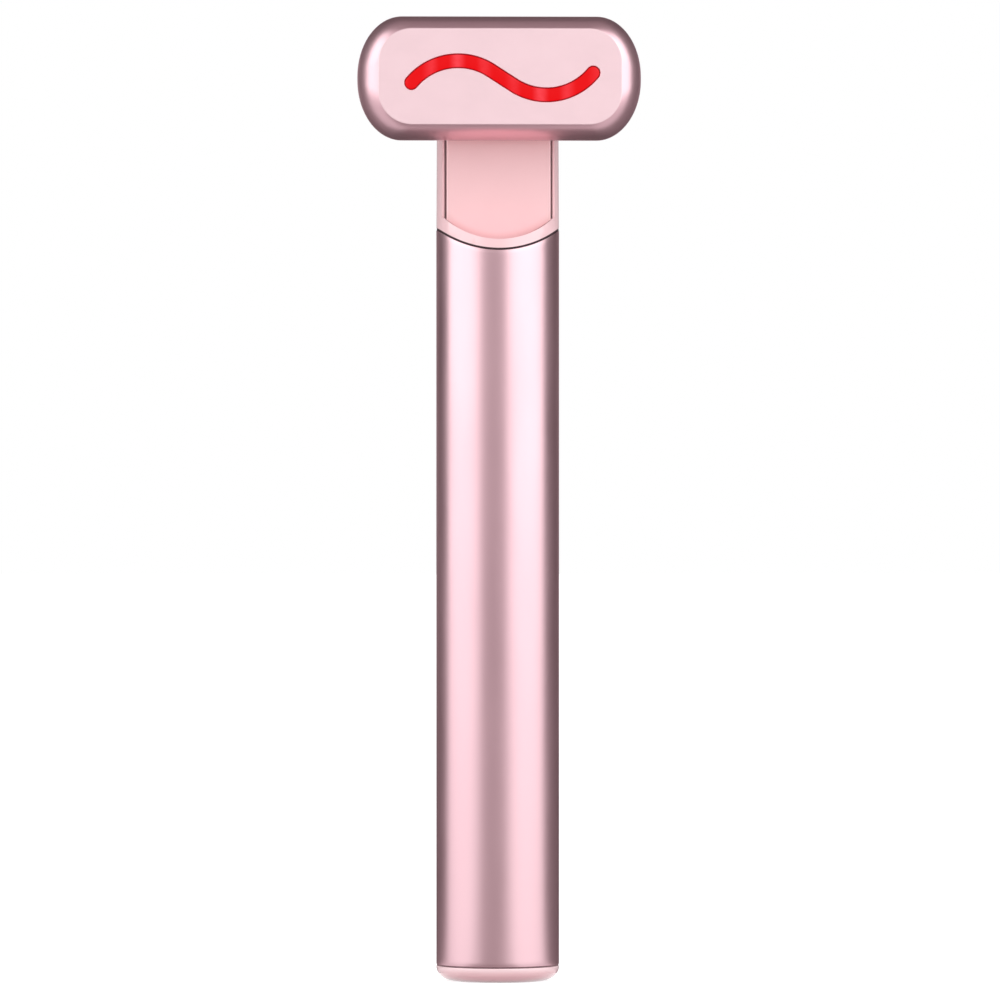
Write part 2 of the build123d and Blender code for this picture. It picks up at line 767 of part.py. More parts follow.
def head_back_cover():
    cover = extrude(head_plane(cover_back) * rim_outline(1), cover_thickness)
    cover = fillet(cover.edges().group_by(Axis.Y)[-1], cover_edge)
    recess = cover_thickness - cover_wall
    lip_inner = plate_wall + fit_gap + cover_lip_wall
    cover -= extrude(head_plane(cover_front + recess) * rim_outline(1, lip_inner + 0.2), recess)
    lip_plane = head_plane(cover_front + fit_gap)
    lip = extrude(lip_plane * rim_outline(1, plate_wall + fit_gap), cover_lip + fit_gap)
    lip -= extrude(lip_plane * rim_outline(1, lip_inner), cover_lip + fit_gap)
    for x, z in post_places:
        lip -= rod_y(post_radius + fit_gap, face_y, cover_front, x, hinge_z + z)
    cover += lip + knuckle()
    cover -= rod_y(window_width / 2, cover_front - 1, -0.5, window_x, hinge_z)
    for x, z in post_places:
        cover += rod_y(post_radius, cover_front, cover_back - recess / 2, x, hinge_z + z)
    for seat in head_screw_seats():
        cover -= seat * countersink(running_gap)
    return cover


def head_screw_seats():
    return [Pos(x, cover_back, hinge_z + z) * Rot(-90, 0, 0) for x, z in post_places]


def head_screws():
    return [seat * screw(screw_length) for seat in head_screw_seats()]


def save(name, shape):
    """Writes one node; a list of solids becomes one group."""
    shape = Compound(children=shape) if isinstance(shape, list) else shape
    export_step(shape, f"parts/{name}.step")


pieces = (
    handle_tube, end_cap, end_cap_seal, usb_port_shell, usb_port_tongue, charge_light_pipe,
    charge_board, charge_board_parts, battery_cell, battery_tabs, battery_pads, battery_leads,
    inner_chassis, chassis_screws, main_board, main_board_parts, tube_contact_spring,
    motor_case, motor_sleeve, motor_shaft, eccentric_weight,
    neck_housing, neck_panel, neck_gasket, neck_leads, switch_body, switch_plunger,
    hinge_pins, hinge_washers,
    head_back_cover, head_gasket, head_screws, treatment_plate, light_guide,
    led_board, red_leds, plate_contact_pins, head_leads,
)

os.makedirs("parts", exist_ok=True)
for piece in pieces:
    save(piece.__name__, piece())
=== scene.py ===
import math
import bmesh
import bpy
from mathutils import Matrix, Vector


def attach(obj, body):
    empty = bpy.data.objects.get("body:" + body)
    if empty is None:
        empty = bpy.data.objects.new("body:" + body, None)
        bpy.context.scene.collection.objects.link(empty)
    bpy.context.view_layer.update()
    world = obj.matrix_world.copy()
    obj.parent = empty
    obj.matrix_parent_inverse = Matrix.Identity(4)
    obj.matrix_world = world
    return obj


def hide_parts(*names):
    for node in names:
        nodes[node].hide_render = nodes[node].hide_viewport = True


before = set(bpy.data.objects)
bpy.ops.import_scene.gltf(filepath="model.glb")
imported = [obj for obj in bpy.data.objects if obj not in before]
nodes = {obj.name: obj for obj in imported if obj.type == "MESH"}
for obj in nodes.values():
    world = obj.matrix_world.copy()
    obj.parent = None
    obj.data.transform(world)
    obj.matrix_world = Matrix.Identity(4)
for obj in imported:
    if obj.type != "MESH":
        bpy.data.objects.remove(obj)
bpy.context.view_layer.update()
print("frame loaded:", len(nodes), "nodes")

mm = 0.001
scene = bpy.context.scene
scene.view_settings.view_transform = "Standard"


def addObject(name, data):
    thing = bpy.data.objects.new(name, data)
    scene.collection.objects.link(thing)
    return thing


def paint(thing, material):
    thing.data.materials.clear()
    thing.data.materials.append(material)


# A number in a node tree, so that the rule of a shape reads like a formula
class Field:
    def __init__(self, tree, socket):
        self.tree, self.socket = tree, socket

    def step(self, operation, *others):
        return Field(self.tree, mathNode(self.tree, operation, self, *others))

    def __add__(self, other):
        return self.step("ADD", other)

    def __sub__(self, other):
        return self.step("SUBTRACT", other)

    def __mul__(self, other):
        return self.step("MULTIPLY", other)

    def __truediv__(self, other):
        return self.step("DIVIDE", other)

    def __neg__(self):
        return self.step("MULTIPLY", -1.0)

    def root(self):
        return self.step("SQRT")

    def sine(self):
        return self.step("SINE")

    def cosine(self):
        return self.step("COSINE")

    def ramp(self, start, span=1.0):
        # 0 up to start, then rising to 1 over span
        return ((self - start) / span).step("MAXIMUM", 0.0).step("MINIMUM", 1.0)


def plug(tree, value, socket):
    # fills a socket with another node's output, a number, a vector or a colour
    value = value.socket if isinstance(value, Field) else value
    if isinstance(value, bpy.types.NodeSocket):
        tree.links.new(value, socket)
    else:
        socket.default_value = (*value, 1) if socket.type == "RGBA" else value


def drive(tree, node, **inputs):
    for key, value in inputs.items():
        plug(tree, value, node.inputs[key.replace("_", " ")])


def addNode(tree, kind, settings=None, **inputs):
    node = tree.nodes.new(kind)
    for key, value in (settings or {}).items():
        setattr(node, key, value)
    drive(tree, node, **inputs)
    return node


def mathNode(tree, operation, *values):
    node = addNode(tree, "ShaderNodeMath", {"operation": operation})
    for socket, value in zip(node.inputs, values):
        plug(tree, value, socket)
    return node.outputs[0]


def emptyTree(owner):
    # the node tree of a material or a world, cleared
    owner.use_nodes = True
    owner.node_tree.nodes.clear()
    return owner.node_tree


# Camera: a long lens, level with the wand's middle and a touch to the left
cameraSetup = {
    "distance": 1.1, "azimuth": -1.7, "height": 0.0704, "across": 0.00034,
    "lens": 270, "sensor": 36, "clip": (0.05, 50),
}


def placeCamera(setup):
    data = bpy.data.cameras.new("wandCamera")
    camera = addObject("wandCamera", data)
    turn = math.radians(setup["azimuth"])
    toCamera = Vector((math.sin(turn), -math.cos(turn), 0))
    aim = Vector((setup["across"], 0, setup["height"]))
    camera.location = aim + toCamera * setup["distance"]
    camera.rotation_euler = (-toCamera).to_track_quat("-Z", "Y").to_euler()
    data.lens = setup["lens"]
    data.sensor_width = setup["sensor"]
    data.clip_start, data.clip_end = setup["clip"]
    scene.camera = camera


placeCamera(cameraSetup)


# Studio: two tall soft boxes, a pale floor, a white surround, and cards that only reflections see
studioSetup = {
    "boxDistance": 1.6,
    "leftBox": {"from": -107, "to": -31.5, "low": -1.4, "high": 2.4, "level": 0.84},
    "rightBox": {"from": 13.5, "to": 94, "low": -1.4, "high": 2.4, "level": 0.93},
    "ambient": 0.95, "surround": 1.0,  # the world's strength: on the object, and where it is seen
    "floorColour": (0.57, 0.555, 0.555),
    "floorLift": 0.8,
    "floorSize": 12,
    "floorDrop": 0.00003,
    "cards": [
        # name, azimuth from, azimuth to, distance, low, high, level
        ("frontCard", -36, 18, 2.2, -2.0, 2.6, 0.6),
        ("highFrontCard", -44, 28, 1.5, 0.95, 2.6, 0.33),
        ("highBackCard", 140, 220, 1.7, 0.4, 2.6, 0.1),
        ("leftCard", -150, -107, 1.9, -1.5, 2.6, 0.11),
        ("rightCard", 94, 150, 1.9, -1.5, 2.6, 0.14),
        ("backCard", 150, 210, 1.9, -1.5, 2.6, 0.4),
    ],
    "overCard": {"height": 2.5, "radius": 2.4, "level": 0.28},
    "floorCards": [
        # name, azimuth from, azimuth to, nearest, furthest, level
        ("floorFrontCard", -44, 24, 0.0092, 2.2, 0.31),
        ("floorBackCard", 150, 210, 0.0092, 2.2, 0.12),
        ("floorBackLeftCard", -150, -110, 0.0092, 2.2, 0.2),
        ("floorBackRightCard", 92, 150, 0.0092, 2.2, 0.2),
        ("floorLeftCard", -110, -44, 0.0092, 2.2, 0.75),
        ("floorRightCard", 24, 92, 0.0092, 2.2, 0.75),
    ],
    "floorCardHeight": 0.0006,
    "cardSteps": 16, "floorCardSteps": 24, "overCardSides": 32,
    "cardTint": (0.93, 0.95), "darkCardTint": (0.84, 0.87), "darkBelow": 0.5,  # green and blue, against red
}


def plainMesh(name, points, faces):
    mesh = bpy.data.meshes.new(name)
    mesh.from_pydata(points, [], faces)
    mesh.update()
    return addObject(name, mesh)


def around(azimuth, distance, height=0.0):
    turn = math.radians(azimuth)
    return Vector((math.sin(turn) * distance, -math.cos(turn) * distance, height))


def addSoftBox(name, box, distance):
    middle = (box["from"] + box["to"]) / 2
    half = math.radians(box["to"] - box["from"]) / 2
    width = 2 * distance * math.tan(half)
    height = box["high"] - box["low"]
    data = bpy.data.lights.new(name, "AREA")
    data.shape = "RECTANGLE"
    data.size = width
    data.size_y = height
    data.energy = box["level"] * math.pi * width * height
    lamp = addObject(name, data)
    lamp.location = around(middle, distance, (box["low"] + box["high"]) / 2)
    lamp.rotation_euler = around(middle, 1).to_track_quat("Z", "Y").to_euler()
    lamp.visible_camera = False


def glowMaterial(name, level):
    material = bpy.data.materials.new(name)
    tree = emptyTree(material)
    green, blue = studioSetup["darkCardTint" if level < studioSetup["darkBelow"] else "cardTint"]
    glow = addNode(tree, "ShaderNodeEmission", Color=(level, level * green, level * blue))
    addNode(tree, "ShaderNodeOutputMaterial", Surface=glow.outputs[0])
    return material


def onlyInReflections(card, level):
    paint(card, glowMaterial(card.name + "Paint", level))
    for ray in ("camera", "diffuse", "shadow", "transmission", "volume_scatter"):
        setattr(card, "visible_" + ray, False)


def addStrip(name, start, end, steps, edges, level):
    # a card bent round the wand from one azimuth to another; each edge is a distance and a height
    points, faces = [], []
    for step in range(steps + 1):
        azimuth = start + (end - start) * step / steps
        points += [around(azimuth, *edge) for edge in edges]
    for step in range(steps):
        a = 2 * step
        faces.append((a, a + 2, a + 3, a + 1))
    onlyInReflections(plainMesh(name, points, faces), level)


def addCards(setup):
    for name, start, end, distance, low, high, level in setup["cards"]:
        addStrip(name, start, end, setup["cardSteps"], ((distance, low), (distance, high)), level)
    over, sides = setup["overCard"], setup["overCardSides"]
    rim = [around(360 * i / sides, over["radius"], over["height"]) for i in range(sides)]
    onlyInReflections(plainMesh("overCard", rim, [tuple(range(sides))]), over["level"])
    height = setup["floorCardHeight"]
    for name, start, end, near, far, level in setup["floorCards"]:
        addStrip(name, start, end, setup["floorCardSteps"], ((far, height), (near, height)), level)


def seenDirectly(tree):
    # 1 for rays that see the surround as a picture: straight, in a reflection or through glass
    path = addNode(tree, "ShaderNodeLightPath")
    seen = path.outputs["Is Camera Ray"]
    for name in ("Is Glossy Ray", "Is Transmission Ray"):
        seen = mathNode(tree, "MAXIMUM", seen, path.outputs[name])
    return seen


def buildFloor(setup):
    half, low = setup["floorSize"] / 2, -setup["floorDrop"]
    corners = [(-half, -half, low), (half, -half, low), (half, half, low), (-half, half, low)]
    floor = plainMesh("floor", corners, [(0, 1, 2, 3)])
    material = bpy.data.materials.new("floorPaper")
    tree = emptyTree(material)
    paper = addNode(tree, "ShaderNodeBsdfDiffuse", Color=setup["floorColour"])
    strength = mathNode(tree, "MULTIPLY", seenDirectly(tree), setup["floorLift"])
    lift = addNode(tree, "ShaderNodeEmission", Color=(1, 1, 1), Strength=strength)
    both = addNode(tree, "ShaderNodeAddShader")
    tree.links.new(paper.outputs[0], both.inputs[0])
    tree.links.new(lift.outputs[0], both.inputs[1])
    # from below the paper is clear, so that the foot can be looked at
    under = addNode(tree, "ShaderNodeNewGeometry").outputs["Backfacing"]
    clear = addNode(tree, "ShaderNodeBsdfTransparent")
    side = addNode(tree, "ShaderNodeMixShader", Fac=under)
    tree.links.new(both.outputs[0], side.inputs[1])
    tree.links.new(clear.outputs[0], side.inputs[2])
    addNode(tree, "ShaderNodeOutputMaterial", Surface=side.outputs[0])
    paint(floor, material)


def buildWorld(setup):
    scene.world = bpy.data.worlds.new("studio")
    tree = emptyTree(scene.world)
    mix = addNode(tree, "ShaderNodeMixShader", Fac=seenDirectly(tree))
    for index, strength in ((1, setup["ambient"]), (2, setup["surround"])):
        ground = addNode(tree, "ShaderNodeBackground", Color=(1, 1, 1), Strength=strength)
        tree.links.new(ground.outputs[0], mix.inputs[index])
    addNode(tree, "ShaderNodeOutputWorld", Surface=mix.outputs[0])


addSoftBox("leftBox", studioSetup["leftBox"], studioSetup["boxDistance"])
addSoftBox("rightBox", studioSetup["rightBox"], studioSetup["boxDistance"])
addCards(studioSetup)
buildFloor(studioSetup)
buildWorld(studioSetup)
print("studio ready")


# Materials. Every pattern reads Object coordinates, in metres.
def newMaterial(name, **inputs):
    material = bpy.data.materials.new(name)
    tree = emptyTree(material)
    shader = addNode(tree, "ShaderNodeBsdfPrincipled", **inputs)
    addNode(tree, "ShaderNodeOutputMaterial", Surface=shader.outputs[0])
    return material, tree, shader


def coated(setup):
    return {"Coat_Weight": setup["coat"], "Coat_Roughness": setup["coatRoughness"]}


def objectPoints(tree, scale=(1, 1, 1)):
    # a scale below 1 draws a pattern out along that axis
    source = addNode(tree, "ShaderNodeTexCoord").outputs["Object"]
    return addNode(tree, "ShaderNodeMapping", Vector=source, Scale=scale).outputs["Vector"]


def splitPoint(tree):
    source = addNode(tree, "ShaderNodeTexCoord").outputs["Object"]
    return addNode(tree, "ShaderNodeSeparateXYZ", Vector=source).outputs


# the part of a noise's range that a pattern spreads over: its middle, or nearly all of it
noiseMiddle, noiseWide = (0.35, 0.65), (0.3, 0.7)


def noise(tree, points, scale, detail=3.0, roughness=0.5):
    texture = addNode(tree, "ShaderNodeTexNoise", Vector=points, Scale=scale, Detail=detail, Roughness=roughness)
    return texture.outputs["Fac"]


def cellDistance(tree, scale):
    cells = addNode(tree, "ShaderNodeTexVoronoi", Vector=objectPoints(tree), Scale=scale)
    return cells.outputs["Distance"]


def mapRange(tree, value, fromLow, fromHigh, low, high, smooth=False):
    fit = addNode(tree, "ShaderNodeMapRange", {"interpolation_type": "SMOOTHSTEP" if smooth else "LINEAR"},
                  Value=value, From_Min=fromLow, From_Max=fromHigh, To_Min=low, To_Max=high)
    return fit.outputs["Result"]


def mixColour(tree, factor, a, b):
    mix = addNode(tree, "ShaderNodeMix", {"data_type": "RGBA"}, Factor=factor)
    for socket, value in zip(mix.inputs[6:8], (a, b)):  # the inputs named A and B that take colours
        plug(tree, value, socket)
    return mix.outputs[2]


def addBump(tree, shader, height, strength, distance):
    bump = addNode(tree, "ShaderNodeBump", Strength=strength, Distance=distance, Height=height)
    drive(tree, shader, Normal=bump.outputs["Normal"])


def mottle(tree, value, a, b, spread=noiseMiddle):
    # a colour that drifts from a to b with the noise
    return mixColour(tree, mapRange(tree, value, *spread, 0, 1), a, b)


# Handle: satin rose anodised aluminium with a fine bead-blasted grain
handleFinish = {
    "colour": (0.87, 0.585, 0.64), "lightColour": (0.89, 0.605, 0.655),
    "coat": 0.25, "coatRoughness": 0.3, "edgeTint": (0.60, 0.50, 0.52), "drift": 60, "cloud": 240,
    "roughness": (0.31, 0.37), "grain": 9000, "grainShare": 0.3, "grainDepth": 0.000002, "bump": 0.5,
}


def handleMetal(setup):
    tint = setup["edgeTint"]
    material, tree, shader = newMaterial("handleMetal", Metallic=1.0, Specular_Tint=tint, **coated(setup))
    drift = noise(tree, objectPoints(tree, (1, 1, 0.35)), setup["drift"], 3)
    drive(tree, shader, Base_Color=mottle(tree, drift, setup["colour"], setup["lightColour"]))
    grain = noise(tree, objectPoints(tree), setup["grain"], 2)
    cloud = noise(tree, objectPoints(tree, (1, 1, 0.2)), setup["cloud"], 4)
    share = setup["grainShare"]
    rough = mathNode(tree, "MULTIPLY_ADD", grain, share, mathNode(tree, "MULTIPLY", cloud, 1 - share))
    drive(tree, shader, Roughness=mapRange(tree, rough, *noiseMiddle, *setup["roughness"]))
    addBump(tree, shader, grain, setup["bump"], setup["grainDepth"])
    return material


# Head plate: a pale pearl flat, and a rim of satin rose metal
plateFinish = {
    "flatColour": (0.98, 0.73, 0.77), "flatRoughness": 0.42, "flatMetal": 0.45, "pearl": 300, "pearlLift": 1.03,
    "rimColour": (0.88, 0.585, 0.64), "rimRoughness": 0.38, "rimMetal": 1.0, "rimFrom": (-0.01319, -0.01313),
    "coat": 0.2, "coatRoughness": 0.25, "edgeTint": (0.85, 0.74, 0.78),
    "grain": 7000, "grainSpread": 0.03, "grainDepth": 0.0000015, "bump": 0.5,
}


def plateMetal(setup):
    material, tree, shader = newMaterial("plateMetal", Specular_Tint=setup["edgeTint"], **coated(setup))
    rim = mapRange(tree, splitPoint(tree)[1], *setup["rimFrom"], 0, 1)
    pearl = noise(tree, objectPoints(tree, (0.6, 1, 1)), setup["pearl"], 4)
    pale = tuple(c * setup["pearlLift"] for c in setup["flatColour"])
    flat = mottle(tree, pearl, setup["flatColour"], pale)
    grain = noise(tree, objectPoints(tree), setup["grain"], 2)
    rough = mapRange(tree, rim, 0, 1, setup["flatRoughness"], setup["rimRoughness"])
    spread = mapRange(tree, grain, *noiseWide, -setup["grainSpread"], setup["grainSpread"])
    drive(tree, shader, Base_Color=mixColour(tree, rim, flat, setup["rimColour"]),
          Roughness=mathNode(tree, "ADD", rough, spread),
          Metallic=mapRange(tree, rim, 0, 1, setup["flatMetal"], setup["rimMetal"]))
    addBump(tree, shader, grain, setup["bump"], setup["grainDepth"])
    return material


# Neck and back cover: pearl pink plastic with a very fine moulded texture
pearlFinish = {
    "colour": (0.955, 0.64, 0.67), "deepColour": (0.935, 0.615, 0.645),
    "coat": 0.9, "coatRoughness": 0.13, "roughness": (0.30, 0.38), "cloud": 90,
    "texture": 5200, "textureDepth": 0.000004, "bump": 0.4,
}
# Neck panel: the same moulding in plain pink, with painted shade where it meets the neck's curved band
panelFinish = {
    **pearlFinish, "colour": (0.99, 0.62, 0.64), "deepColour": (0.97, 0.60, 0.62),
    "coat": 0.55, "coatRoughness": 0.16,
    # painted shade: edgeColour is the darker tone of the panel near the arc above the band
    "edgeColour": (0.80, 0.43, 0.44), "arcZ": 0.1199, "arcShadeReach": (0.0102, 0.0117), "arcShadeDepth": 0.75,
}
# End cap: painted shade towards the foot, a darker painted shadow at its lowest edge, and a painted highlight
# towards the seam; each band is from z, to z, colour
capFinish = {
    **pearlFinish,
    "shadeAndHighlightBands": [
        (0.0016, 0.0008, (0.76, 0.42, 0.46)),
        (0.0005, 0.0, (0.55, 0.30, 0.33)),
        (0.0014, 0.0020, (0.975, 0.715, 0.745)),
    ],
}


def pinkPlastic(name, setup):
    material, tree, shader = newMaterial(name, **coated(setup))
    cloud = noise(tree, objectPoints(tree), setup["cloud"], 3)
    colour = mottle(tree, cloud, setup["colour"], setup["deepColour"])
    # painted shade: below arcZ the panel is mixed towards edgeColour near the arc where it meets the band
    if "arcZ" in setup:
        x, y, z = splitPoint(tree)
        fall = mathNode(tree, "SUBTRACT", setup["arcZ"], z)
        reach = mathNode(tree, "SQRT", mathNode(tree, "ADD", mathNode(tree, "MULTIPLY", x, x),
                                                mathNode(tree, "MULTIPLY", fall, fall)))
        low = mathNode(tree, "GREATER_THAN", fall, 0)
        near = mapRange(tree, reach, *setup["arcShadeReach"], 0, setup["arcShadeDepth"], smooth=True)
        colour = mixColour(tree, mathNode(tree, "MULTIPLY", near, low), colour, setup["edgeColour"])
    # painted shade and painted highlight: bands of colour by height
    for start, end, paintedBandColour in setup.get("shadeAndHighlightBands", []):
        height = splitPoint(tree)[2]
        colour = mixColour(tree, mapRange(tree, height, start, end, 0, 1, smooth=True), colour, paintedBandColour)
    texture = noise(tree, objectPoints(tree), setup["texture"], 3)
    drive(tree, shader, Base_Color=colour, Roughness=mapRange(tree, texture, *noiseWide, *setup["roughness"]))
    addBump(tree, shader, texture, setup["bump"], setup["textureDepth"])
    return material


# Seam rubber: matte and dark, with some dust in it; the lower seal is paler, as the photo has its seam
rubberFinish = {
    "colour": (0.035, 0.013, 0.018), "dustColour": (0.060, 0.028, 0.034),
    "dust": 2600, "dustRange": (0.4, 0.7), "roughness": (0.55, 0.8), "bump": 0.5, "bumpDepth": 0.00001,
}
sealFinish = {**rubberFinish, "colour": (0.20, 0.11, 0.125), "dustColour": (0.26, 0.155, 0.17)}


def seamRubber(name, setup):
    material, tree, shader = newMaterial(name)
    dust = noise(tree, objectPoints(tree), setup["dust"], 4)
    colour = mottle(tree, dust, setup["colour"], setup["dustColour"], setup["dustRange"])
    drive(tree, shader, Base_Color=colour, Roughness=mapRange(tree, dust, *noiseWide, *setup["roughness"]))
    addBump(tree, shader, dust, setup["bump"], setup["bumpDepth"])
    return material


# Light window: glowing red, with a hot spot over each lamp
waveGlow = {
    "colour": (0.82, 0.003, 0.005), "hotColour": (0.98, 0.065, 0.085), "edgeColour": (0.26, 0.002, 0.006),
    "lens": ((0.03, 0.0004, 0.0008), (0.05, 0.0006, 0.001)), "roughness": 0.35, "shine": 0.12, "strength": 1.0,
    "pitch": 0.0040, "firstSpot": -0.0102, "spotRadius": 0.0014, "spotLevels": (0.22, 0.95), "bendPitch": 0.0128,
    "tint": 1800, "tintLevels": (0.75, 1.0), "edgeY": (-0.01307, -0.01301),
}


def redWindow(setup):
    material, tree, shader = newMaterial("redWindow", Roughness=setup["roughness"],
                                         Specular_IOR_Level=setup["shine"], Emission_Strength=setup["strength"])
    x, y, z = splitPoint(tree)
    # distance from the nearest lamp along the head
    pitch = setup["pitch"]
    phase = mathNode(tree, "SUBTRACT", x, setup["firstSpot"] - pitch / 2)
    nearest = mathNode(tree, "SUBTRACT", mathNode(tree, "FLOORED_MODULO", phase, pitch), pitch / 2)
    off = mathNode(tree, "ABSOLUTE", nearest)
    spot = mapRange(tree, off, setup["spotRadius"], 0, 0, 1, smooth=True)
    tint = noise(tree, objectPoints(tree), setup["tint"], 3)
    spot = mathNode(tree, "MULTIPLY", spot, mapRange(tree, tint, *noiseWide, *setup["tintLevels"]))
    # the lamps show most where the window bends
    bend = mathNode(tree, "COSINE", mathNode(tree, "MULTIPLY", x, 2 * math.pi / setup["bendPitch"]))
    spot = mathNode(tree, "MULTIPLY", spot, mapRange(tree, bend, 1, -1, *setup["spotLevels"]))
    colour = mixColour(tree, spot, setup["colour"], setup["hotColour"])
    # the rounded edge stays darker, where the light leaves the window sideways
    edge = mapRange(tree, y, *setup["edgeY"], 0, 1)
    drive(tree, shader, Base_Color=mixColour(tree, tint, *setup["lens"]),
          Emission_Color=mixColour(tree, edge, colour, setup["edgeColour"]))
    return material


# Inner pieces: metal drawn or turned in fine lines, and plain mouldings
def metalFinish(name, colour, roughness, streak=(1, 1, 1), scale=3000, depth=0.000003, tone=0.86, bump=0.4):
    material, tree, shader = newMaterial(name, Metallic=1.0)
    lines = noise(tree, objectPoints(tree, streak), scale, 3)
    drive(tree, shader, Base_Color=mottle(tree, lines, tuple(c * tone for c in colour), colour, noiseWide),
          Roughness=mapRange(tree, lines, *noiseWide, *roughness))
    addBump(tree, shader, lines, bump, depth)
    return material


def plasticPart(name, colour, roughness, scale=2500, depth=0.00001, coat=0.0, tone=0.85, bump=0.5):
    material, tree, shader = newMaterial(name, Coat_Weight=coat)
    grain = noise(tree, objectPoints(tree), scale, 4)
    drive(tree, shader, Base_Color=mottle(tree, grain, tuple(c * tone for c in colour), colour),
          Roughness=mapRange(tree, grain, *noiseWide, *roughness))
    addBump(tree, shader, grain, bump, depth)
    return material


# Circuit boards: green mask with fine lighter tracks under it and a few tinned pads
boardFinish = {
    "mask": (0.016, 0.11, 0.055), "track": (0.035, 0.20, 0.10), "pad": (0.62, 0.60, 0.56),
    "pitch": 0.0011, "trackEdge": (0.13, 0.17), "wander": 160, "wanderSteps": 6,
    "areas": 90, "areaEdge": (0.49, 0.51), "pads": 420, "padEdge": (0.13, 0.16),
    "coat": 0.4, "coatRoughness": 0.2, "roughness": (0.42, 0.34), "bump": 0.6, "bumpDepth": 0.00002,
}


def boardMask(setup):
    material, tree, shader = newMaterial("boardMask", **coated(setup))
    x, y, z = splitPoint(tree)
    pitch = setup["pitch"]
    wander = noise(tree, objectPoints(tree), setup["wander"], 2)
    aside = mathNode(tree, "ROUND", mathNode(tree, "MULTIPLY", wander, setup["wanderSteps"]))
    lines = []
    for across in (x, z):
        # tracks run one way, stepping aside where the noise changes
        off = mathNode(tree, "PINGPONG", mathNode(tree, "MULTIPLY_ADD", aside, pitch / 3, across), pitch / 2)
        lines.append(mapRange(tree, off, *(pitch * share for share in setup["trackEdge"]), 1, 0))
    area = mapRange(tree, noise(tree, objectPoints(tree), setup["areas"], 1), *setup["areaEdge"], 0, 1)
    track = mathNode(tree, "ADD", mathNode(tree, "MULTIPLY", lines[0], area),
                     mathNode(tree, "MULTIPLY", lines[1], mathNode(tree, "SUBTRACT", 1, area)))
    colour = mixColour(tree, track, setup["mask"], setup["track"])
    pad = mapRange(tree, cellDistance(tree, setup["pads"]), *setup["padEdge"], 1, 0)
    drive(tree, shader, Base_Color=mixColour(tree, pad, colour, setup["pad"]), Metallic=pad,
          Roughness=mapRange(tree, track, 0, 1, *setup["roughness"]))
    addBump(tree, shader, track, setup["bump"], setup["bumpDepth"])
    return material


# Battery: shrink film with fine folds along the cell
filmFinish = {
    "colour": (0.035, 0.12, 0.34), "paleColour": (0.06, 0.18, 0.45), "cloud": 120, "folds": 900,
    "coat": 0.6, "coatRoughness": 0.12, "roughness": (0.24, 0.4), "bump": 0.5, "bumpDepth": 0.00002,
}


def batteryFilm(setup):
    material, tree, shader = newMaterial("batteryFilm", **coated(setup))
    folds = noise(tree, objectPoints(tree, (1, 1, 0.08)), setup["folds"], 3, 0.6)
    cloud = noise(tree, objectPoints(tree), setup["cloud"], 3)
    drive(tree, shader, Base_Color=mottle(tree, cloud, setup["colour"], setup["paleColour"]),
          Roughness=mapRange(tree, folds, *noiseWide, *setup["roughness"]))
    addBump(tree, shader, folds, setup["bump"], setup["bumpDepth"])
    return material


# Foam: open cells, with painted shade at the bottom of each
foamFinish = {
    "colour": (0.10, 0.10, 0.105), "poreShadeColour": (0.02, 0.02, 0.022), "cells": 3200, "cellWall": (0.1, 0.6),
    "shine": 0.2, "roughness": (1.0, 0.85), "bump": 0.8, "bumpDepth": 0.00008,
}


def foamPad(setup):
    material, tree, shader = newMaterial("foamPad", Specular_IOR_Level=setup["shine"])
    # painted shade: each cell darkens towards its pore colour at its middle
    depth = mapRange(tree, cellDistance(tree, setup["cells"]), *setup["cellWall"], 0, 1)
    drive(tree, shader, Base_Color=mixColour(tree, depth, setup["poreShadeColour"], setup["colour"]),
          Roughness=mapRange(tree, depth, 0, 1, *setup["roughness"]))
    addBump(tree, shader, depth, setup["bump"], setup["bumpDepth"])
    return material


finishes = {
    "handle_tube": handleMetal(handleFinish),
    "treatment_plate": plateMetal(plateFinish),
    "light_guide": redWindow(waveGlow),
}
plastic = pinkPlastic("pearlPlastic", pearlFinish)
rubber = seamRubber("seamRubber", rubberFinish)
for name in ("neck_housing", "head_back_cover"):
    finishes[name] = plastic
finishes["end_cap"] = pinkPlastic("capPlastic", capFinish)
finishes["neck_panel"] = pinkPlastic("panelPlastic", panelFinish)
for name in ("neck_gasket", "head_gasket", "motor_sleeve"):
    finishes[name] = rubber
finishes["end_cap_seal"] = seamRubber("sealRubber", sealFinish)
brightSteel = metalFinish("brightSteel", (0.62, 0.62, 0.64), (0.24, 0.36), (1, 1, 0.06))
screwSteel = metalFinish("screwSteel", (0.55, 0.55, 0.57), (0.26, 0.4), scale=5000)
goldContact = metalFinish("goldContact", (0.86, 0.62, 0.26), (0.2, 0.32), (1, 1, 0.1), depth=0.000001)
heavyMetal = metalFinish("heavyMetal", (0.40, 0.35, 0.28), (0.36, 0.5), scale=4200, depth=0.000006)
blackPlastic = plasticPart("blackPlastic", (0.022, 0.022, 0.025), (0.42, 0.6))
chipEpoxy = plasticPart("chipEpoxy", (0.030, 0.030, 0.034), (0.5, 0.7), 6000, 0.000008, tone=0.6)
paleNylon = plasticPart("paleNylon", (0.62, 0.61, 0.57), (0.42, 0.56), 1800)
switchNylon = plasticPart("switchNylon", (0.72, 0.67, 0.54), (0.36, 0.5), 3600)
leadRubber = plasticPart("leadRubber", (0.52, 0.02, 0.02), (0.34, 0.48), 4000, 0.000006, 0.2)
frostedPipe = plasticPart("frostedPipe", (0.86, 0.85, 0.85), (0.22, 0.34), 2800, 0.000004, 0.4, 0.94)
lampPlastic = plasticPart("lampPlastic", (0.74, 0.08, 0.07), (0.2, 0.32), 2400, 0.000003, 0.5)
